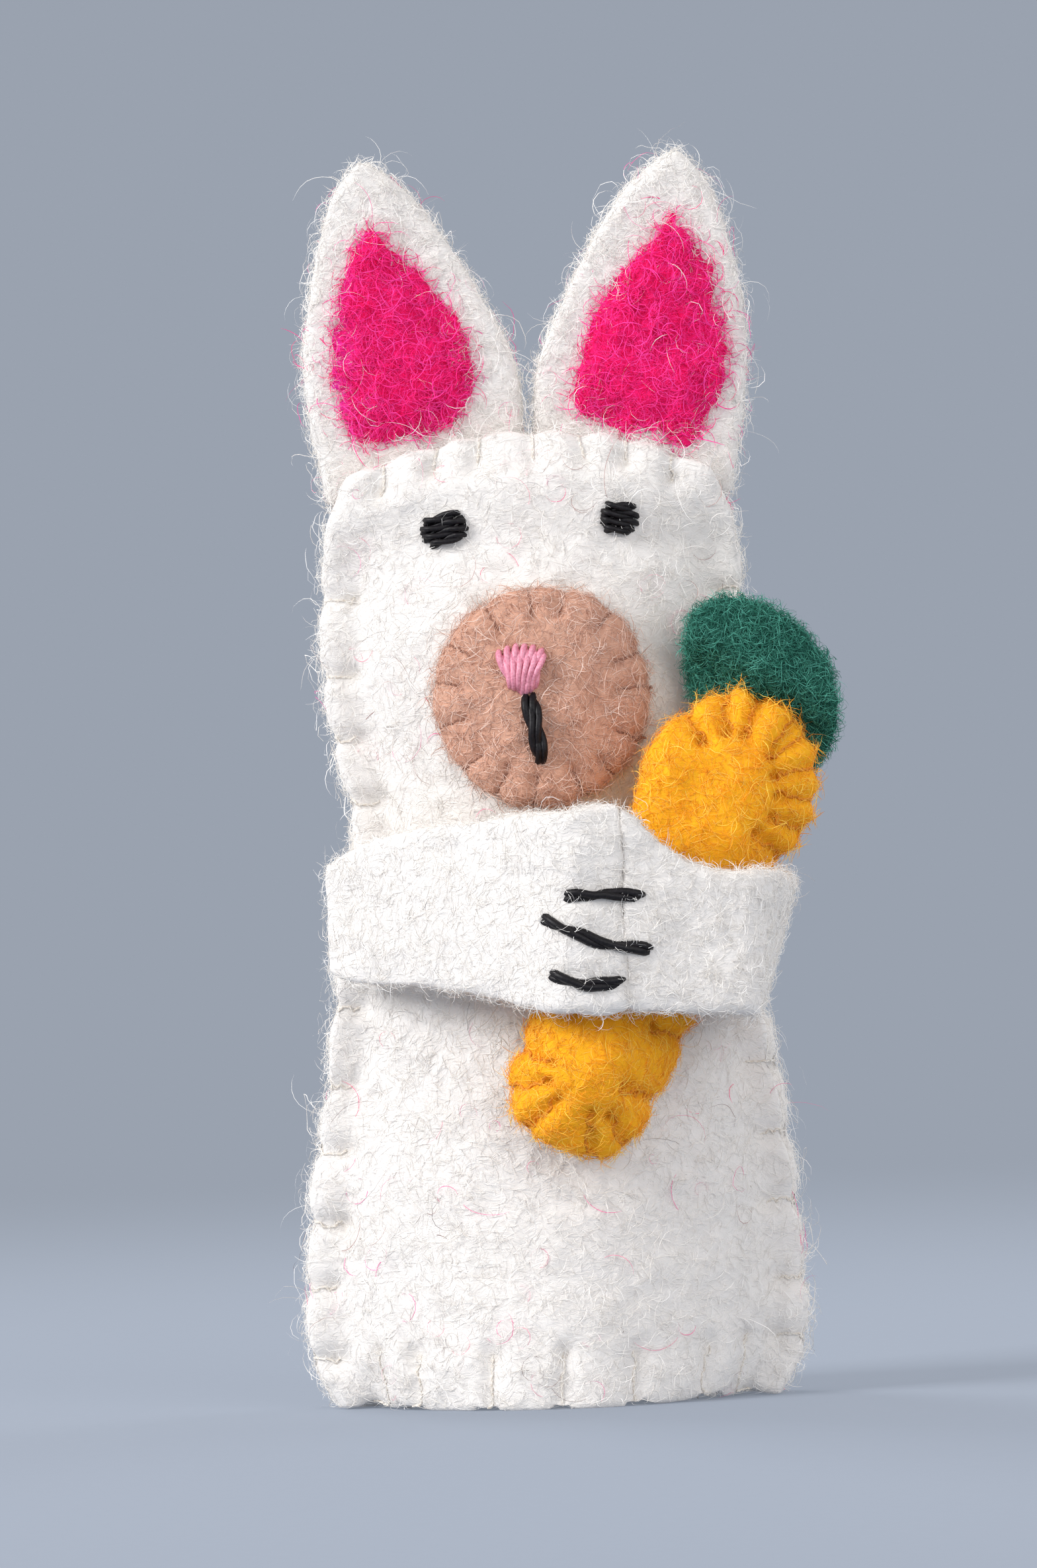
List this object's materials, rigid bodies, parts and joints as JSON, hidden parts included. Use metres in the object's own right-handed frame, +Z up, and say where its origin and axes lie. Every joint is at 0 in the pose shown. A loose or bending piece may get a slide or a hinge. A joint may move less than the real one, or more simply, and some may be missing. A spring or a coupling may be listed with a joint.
{
  "type": "finger puppet",
  "caption": "Upright wool-felt rabbit finger puppet: an open stitched tube with ears, a round muzzle and two arms hugging a stuffed carrot.",
  "frame": {"origin": "on the standing surface, under the middle of the puppet's overall box", "axes": "+Z up along the puppet, from hem to ear tips; the face looks along -Y; +X is to the right of someone facing it"},
  "size_m": [0.0458, 0.0342, 0.0983],
  "materials": {
    "white_felt": "matt wool felt with loose surface fibres",
    "white_thread": "matt sewing thread",
    "pink_wool": "loose needle-felted wool",
    "tan_felt": "matt wool felt",
    "tan_thread": "matt sewing thread",
    "rose_floss": "soft sheen of stranded floss",
    "black_floss": "soft sheen of stranded floss",
    "orange_felt": "matt wool felt",
    "orange_thread": "matt sewing thread",
    "green_felt": "matt wool felt, brushed",
    "loose_wool": "unspun wool filling"
  },
  "bodies": {
    "skirt": {"front_panel_skirt": "white_felt", "back_panel_skirt": "white_felt", "front_hem_stitch": "white_thread", "back_hem_stitch": "white_thread", "left_skirt_stitch": "white_thread", "right_skirt_stitch": "white_thread"},
    "torso": {"front_panel_chest": "white_felt", "back_panel_chest": "white_felt", "front_head_stitch": "white_thread", "back_head_stitch": "white_thread", "left_chest_stitch": "white_thread", "right_chest_stitch": "white_thread", "muzzle": "tan_felt", "muzzle_stitch": "tan_thread", "nose_floss": "rose_floss", "mouth_floss": "black_floss", "left_eye_floss": "black_floss", "right_eye_floss": "black_floss", "left_arm": "white_felt", "right_arm": "white_felt", "upper_hand_stitch": "black_floss", "middle_hand_stitch": "black_floss", "lower_hand_stitch": "black_floss", "carrot_back_felt": "orange_felt", "carrot_front_felt": "orange_felt", "carrot_stuffing": "loose_wool", "carrot_stitch": "orange_thread", "left_ear_root": "white_felt", "right_ear_root": "white_felt"},
    "left_ear_blade": {"left_ear": "white_felt", "left_ear_inner": "pink_wool"},
    "right_ear_blade": {"right_ear": "white_felt", "right_ear_inner": "pink_wool"},
    "leaf": {"carrot_leaf": "green_felt"}
  },
  "joints": [
    {"name": "finger_bend", "type": "hinge", "parent": "skirt", "child": "torso", "pos_m": [-0.00196, -0.00439, 0.018], "axis": [1, 0, 0], "range_deg": [0, 45], "stiffness_Nm_per_rad": 0.02},
    {"name": "left_ear_flex", "type": "hinge", "parent": "torso", "child": "left_ear_blade", "pos_m": [-0.01046, 0.00531, 0.0771], "axis": [1, 0, 0], "range_deg": [-20, 20], "stiffness_Nm_per_rad": 0.001},
    {"name": "right_ear_flex", "type": "hinge", "parent": "torso", "child": "right_ear_blade", "pos_m": [0.00654, 0.00531, 0.0771], "axis": [1, 0, 0], "range_deg": [-20, 20], "stiffness_Nm_per_rad": 0.001},
    {"name": "leaf_flex", "type": "hinge", "parent": "torso", "child": "leaf", "pos_m": [0.01576, -0.0039, 0.05638], "axis": [0.8829, 0, -0.4695], "range_deg": [-20, 20], "stiffness_Nm_per_rad": 0.00005}
  ]
}
